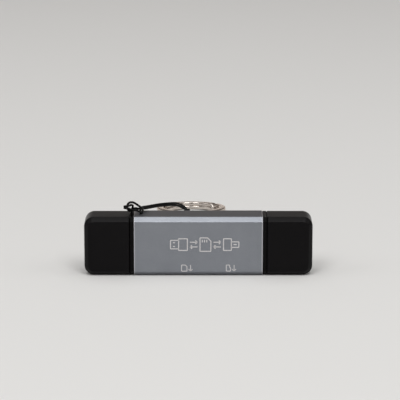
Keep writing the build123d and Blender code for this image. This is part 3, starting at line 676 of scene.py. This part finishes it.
# Strap. One length of thin black twisted nylon cord, limp and slightly shiny: tied in a knot above the
# sleeve's left end, led round the eye there, out to the split ring, and back into the knot, with both ends
# melted. The route's points are in millimetres.
CORD_RADIUS = 0.00037
CORD_LAY = 0.0018
CORD_PLIES = 3
CORD_GROOVE = 0.05
CORD_SIDES = 18
MELT_START = -0.0003
MELT_TIP = 0.1
NYLON_DARK = (0.0015, 0.0014, 0.0014)
NYLON_LIGHT = (0.004, 0.0038, 0.0038)
NYLON_ROUGHNESS = 0.32
NYLON_SPECULAR = 0.13
FIBRE_SCALE = 9000
FIBRE_DEPTH = 0.00003
cord_route = [
    # upper end at the knot's left, and down into the notch
    (-24.95, -0.4, 22.5),
    (-24.3, -0.45, 22.6),
    (-23.6, -0.5, 22.7),
    (-22.95, -0.45, 22.8),
    (-22.3, -0.3, 23.1),
    (-21.75, -0.15, 22.7),
    (-22.05, -0.1, 21.8),
    (-22.4, -0.05, 21.05),
    (-22.15, 0.0, 20.1),
    (-22.05, 0.0, 18.9),
    # along the trough and up the hole
    (-21.9, 0.0, 17.9),
    (-20.7, 0.0, 17.75),
    (-19.5, 0.0, 17.9),
    (-19.25, 0.0, 18.9),
    (-19.25, 0.05, 19.9),
    (-19.4, 0.25, 20.7),
    (-19.4, 0.7, 21.3),
    (-18.9, 1.5, 21.4),
    (-18.4, 2.4, 21.15),
    (-17.9, 3.6, 20.85),
    # lower strand out to the ring
    (-17.3, 5.5, 20.5),
    (-15.55, 11.5, 19.4),
    (-13.3, 19.0, 18.05),
    (-11.15, 27.5, 16.2),
    (-9.25, 36.5, 14.1),
    (-7.7, 45.5, 11.85),
    (-6.4, 53.0, 9.5),
    (-4.95, 58.5, 7.35),
    (-4.45, 61.6, 5.6),
    (-4.4, 63.3, 3.7),
    # round the ring's near edge
    (-4.2, 64.25, 2.0),
    (-4.05, 65.4, 1.2),
    (-3.9, 67.3, 1.1),
    (-3.75, 68.4, 2.1),
    (-3.6, 68.5, 3.9),
    (-3.5, 67.75, 5.05),
    (-3.65, 66.1, 5.15),
    (-3.9, 64.4, 5.45),
    # upper strand back
    (-4.2, 62.0, 6.3),
    (-4.75, 58.5, 7.85),
    (-5.8, 53.0, 10.1),
    (-7.5, 45.5, 12.65),
    (-9.55, 36.5, 14.85),
    (-11.75, 27.5, 16.8),
    (-14.0, 19.0, 18.55),
    (-16.25, 11.5, 19.9),
    (-18.0, 5.5, 21.0),
    (-18.5, 3.2, 21.5),
    # behind the knot, over in a loop and back along its front to the lower end
    (-19.2, 1.6, 21.6),
    (-19.9, 0.8, 21.35),
    (-20.7, 0.65, 21.7),
    (-21.4, 0.65, 21.65),
    (-22.0, 0.65, 21.2),
    (-22.6, 0.6, 20.8),
    (-23.25, 0.5, 20.85),
    (-23.75, 0.35, 21.6),
    (-23.75, 0.3, 22.6),
    (-23.5, 0.3, 23.25),
    (-23.0, 0.3, 23.7),
    (-22.3, 0.3, 23.85),
    (-21.45, 0.3, 23.65),
    (-20.65, 0.3, 23.15),
    (-19.8, 0.25, 22.5),
    (-19.0, 0.05, 22.1),
    (-18.5, -0.35, 21.5),
    (-18.6, -0.85, 20.75),
    (-19.3, -1.0, 20.65),
    (-20.1, -1.0, 21.15),
    (-21.0, -0.95, 21.5),
    (-21.8, -0.9, 21.25),
    (-22.4, -0.9, 21.5),
    (-23.0, -0.85, 21.9),
    (-23.5, -0.75, 21.95),
    (-24.2, -0.65, 21.95),
    (-24.95, -0.5, 22.1),
]
route_line = bpy.data.curves.new("strap_route", "CURVE")
route_line.dimensions = "3D"
route_line.resolution_u = 12
spline = route_line.splines.new("NURBS")
spline.points.add(len(cord_route) - 1)
for point, (x, y, z) in zip(spline.points, cord_route):
    point.co = (x / MM_PER_M, y / MM_PER_M, z / MM_PER_M, 1)
spline.order_u = 3
spline.use_endpoint_u = True
route = add_object("strap_route", route_line)
route_mesh = bpy.data.meshes.new_from_object(route)
bpy.data.objects.remove(route)

nylon, tree, shader, where = start_finish(
    "black_twisted_nylon",
    {"Roughness": NYLON_ROUGHNESS, "Specular IOR Level": NYLON_SPECULAR},
)
fibre = add_noise(tree, where, FIBRE_SCALE)
colour_by(tree, shader, fibre, NYLON_DARK, NYLON_LIGHT)
add_bump(tree, shader, fibre, strength=0.3, distance=FIBRE_DEPTH)

twist, inputs = start_tree(
    "twisted_cord",
    {
        "Route": "Geometry",
        "Radius": "Float",
        "Lay length": "Float",
        "Plies": "Float",
        "Groove depth": "Float",
        "Finish": "Material",
    },
    "Cord",
)
line = add_node(twist, "GeometryNodeMeshToCurve", {"Mesh": inputs["Route"]})
along = twist.nodes.new("GeometryNodeSplineParameter").outputs["Length"]
turns = add_math(twist, "DIVIDE", along, inputs["Lay length"])
twisted = add_node(
    twist,
    "GeometryNodeSetCurveTilt",
    {"Curve": line.outputs["Curve"], "Tilt": add_math(twist, "MULTIPLY", turns, 2 * pi)},
)
round_section = add_node(
    twist,
    "GeometryNodeCurvePrimitiveCircle",
    {"Resolution": CORD_SIDES, "Radius": inputs["Radius"]},
)
spot = twist.nodes.new("GeometryNodeInputPosition").outputs["Position"]
parts = split_vector(twist, spot)
bearing = add_math(twist, "ARCTAN2", parts["Y"], parts["X"])
wave = add_math(twist, "COSINE", add_math(twist, "MULTIPLY", bearing, inputs["Plies"]))
swell = add_math(twist, "MULTIPLY_ADD", wave, inputs["Groove depth"], 1)
lobes = add_node(twist, "ShaderNodeVectorMath", {"Vector": spot, "Scale": swell}, operation="SCALE")
plied_section = add_node(
    twist,
    "GeometryNodeSetPosition",
    {"Geometry": round_section.outputs["Curve"], "Position": lobes.outputs["Vector"]},
)
whole_length = twist.nodes.new("GeometryNodeSplineLength").outputs["Length"]
to_end = add_math(twist, "MINIMUM", along, add_math(twist, "SUBTRACT", whole_length, along))
melt = add_node(
    twist,
    "ShaderNodeMapRange",
    {"Value": to_end, "From Min": MELT_START, "From Max": inputs["Radius"], "To Min": MELT_TIP},
    interpolation_type="SMOOTHERSTEP",
)
swept = add_node(
    twist,
    "GeometryNodeCurveToMesh",
    {
        "Curve": twisted.outputs["Curve"],
        "Profile Curve": plied_section.outputs["Geometry"],
        "Scale": melt.outputs["Result"],
        "Fill Caps": True,
    },
)
smooth = add_node(twist, "GeometryNodeSetShadeSmooth", {"Geometry": swept.outputs["Mesh"]})
finish_tree(twist, smooth.outputs["Geometry"], inputs["Finish"], "Cord")

strap = add_object("strap", route_mesh)
run_tree(
    strap,
    twist,
    {
        "Radius": CORD_RADIUS,
        "Lay length": CORD_LAY,
        "Plies": CORD_PLIES,
        "Groove depth": CORD_GROOVE,
        "Finish": nylon,
    },
)
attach(strap, "reader")
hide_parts("strap_cord", "strap_turn", "strap_knot")


# Table. A plain pale table top, matt, that reaches far past the view on every side, with a low card of about
# the same colour standing round it, dimly lit, which the polished ring and the reader's top mirror.
TABLE_REACH = 6.0
TABLE_COLOUR = (0.72, 0.72, 0.71, 1)
TABLE_ROUGHNESS = 0.85
TABLE_SPECULAR = 0.2
CARD_DISTANCE = 1.8
CARD_HEIGHT = 0.2
CARD_SIDES = 96
CARD_COLOUR = (0.85, 0.84, 0.83, 1)
CARD_ROUGHNESS = 0.9
CARD_GLOW = (1, 0.98, 0.96, 1)
CARD_GLOW_STRENGTH = 0.3
table_top = bpy.data.meshes.new("table")
table_top.from_pydata(
    [
        (-TABLE_REACH, -TABLE_REACH, 0),
        (TABLE_REACH, -TABLE_REACH, 0),
        (TABLE_REACH, TABLE_REACH, 0),
        (-TABLE_REACH, TABLE_REACH, 0),
    ],
    [],
    [(0, 1, 2, 3)],
)
pale = plain_material(
    "pale_table",
    {"Base Color": TABLE_COLOUR, "Roughness": TABLE_ROUGHNESS, "Specular IOR Level": TABLE_SPECULAR},
)
table_top.materials.append(pale)
add_object("table", table_top)
rim = []
for side in range(CARD_SIDES):
    turn = 2 * pi * side / CARD_SIDES
    rim.append((CARD_DISTANCE * cos(turn), CARD_DISTANCE * sin(turn)))
card = bpy.data.meshes.new("low_card")
card.from_pydata(
    [(x, y, z) for z in (0, CARD_HEIGHT) for x, y in rim],
    [],
    [
        (side, side + CARD_SIDES, (side + 1) % CARD_SIDES + CARD_SIDES, (side + 1) % CARD_SIDES)
        for side in range(CARD_SIDES)
    ],
)
lit_card = plain_material(
    "lit_card",
    {
        "Base Color": CARD_COLOUR,
        "Roughness": CARD_ROUGHNESS,
        "Emission Color": CARD_GLOW,
        "Emission Strength": CARD_GLOW_STRENGTH,
    },
)
card.materials.append(lit_card)
add_object("low_card", card)


# Lights. A dim even room with one broad softbox overhead, a pair in front that show as two bright spots in
# the ring, and a weaker pair far to the left and right that light the caps' corners.
ROOM_COLOUR = (0.21, 0.195, 0.185, 1)
OVERHEAD_SIZE = (1.6, 1.6)
OVERHEAD_WATTS = 7.5
OVERHEAD_PLACE = (0.0, 0.2, 1.5)
FRONT_SIZE = (0.65, 1.0)
FRONT_WATTS = 9.7
FRONT_PLACE = (0.5, -0.98, 1.45)
FAR_SIZE = (0.8, 0.8)
FAR_WATTS = 2.2
FAR_PLACE = (1.2, -0.25, 0.86)
room = bpy.data.worlds.new("studio")
room.use_nodes = True
room.node_tree.nodes["Background"].inputs["Color"].default_value = ROOM_COLOUR
room.node_tree.nodes["Background"].inputs["Strength"].default_value = 1.0
bpy.context.scene.world = room


def add_softbox(name, size, watts, place):
    lamp = bpy.data.lights.new(name, "AREA")
    lamp.shape = "RECTANGLE"
    lamp.size, lamp.size_y = size
    lamp.energy = watts
    holder = add_object(name, lamp)
    holder.location = place
    holder.rotation_euler = (-Vector(place)).to_track_quat("-Z", "Y").to_euler()


add_softbox("softbox_overhead", OVERHEAD_SIZE, OVERHEAD_WATTS, OVERHEAD_PLACE)
for side_name, side in (("left", -1), ("right", 1)):
    add_softbox(f"softbox_{side_name}", FRONT_SIZE, FRONT_WATTS, (side * FRONT_PLACE[0], *FRONT_PLACE[1:]))
    add_softbox(f"softbox_far_{side_name}", FAR_SIZE, FAR_WATTS, (side * FAR_PLACE[0], *FAR_PLACE[1:]))


# Camera. A long lens in front of the reader and a little above it, level from side to side and turned down
# so that the reader lies a little below the middle of the picture.
LENS_MM = 198.0
SENSOR_MM = 36.0
NEAREST_SEEN = 0.01
CAMERA_PLACE = (0.000546, -0.71332, 0.19474)
CAMERA_DOWN = 13.412
lens = bpy.data.cameras.new("camera")
lens.lens = LENS_MM
lens.sensor_width = SENSOR_MM
lens.clip_start = NEAREST_SEEN
viewpoint = add_object("camera", lens)
viewpoint.location = CAMERA_PLACE
viewpoint.rotation_euler = (radians(90 - CAMERA_DOWN), 0, 0)
bpy.context.scene.camera = viewpoint
bpy.context.scene.view_settings.view_transform = "Standard"
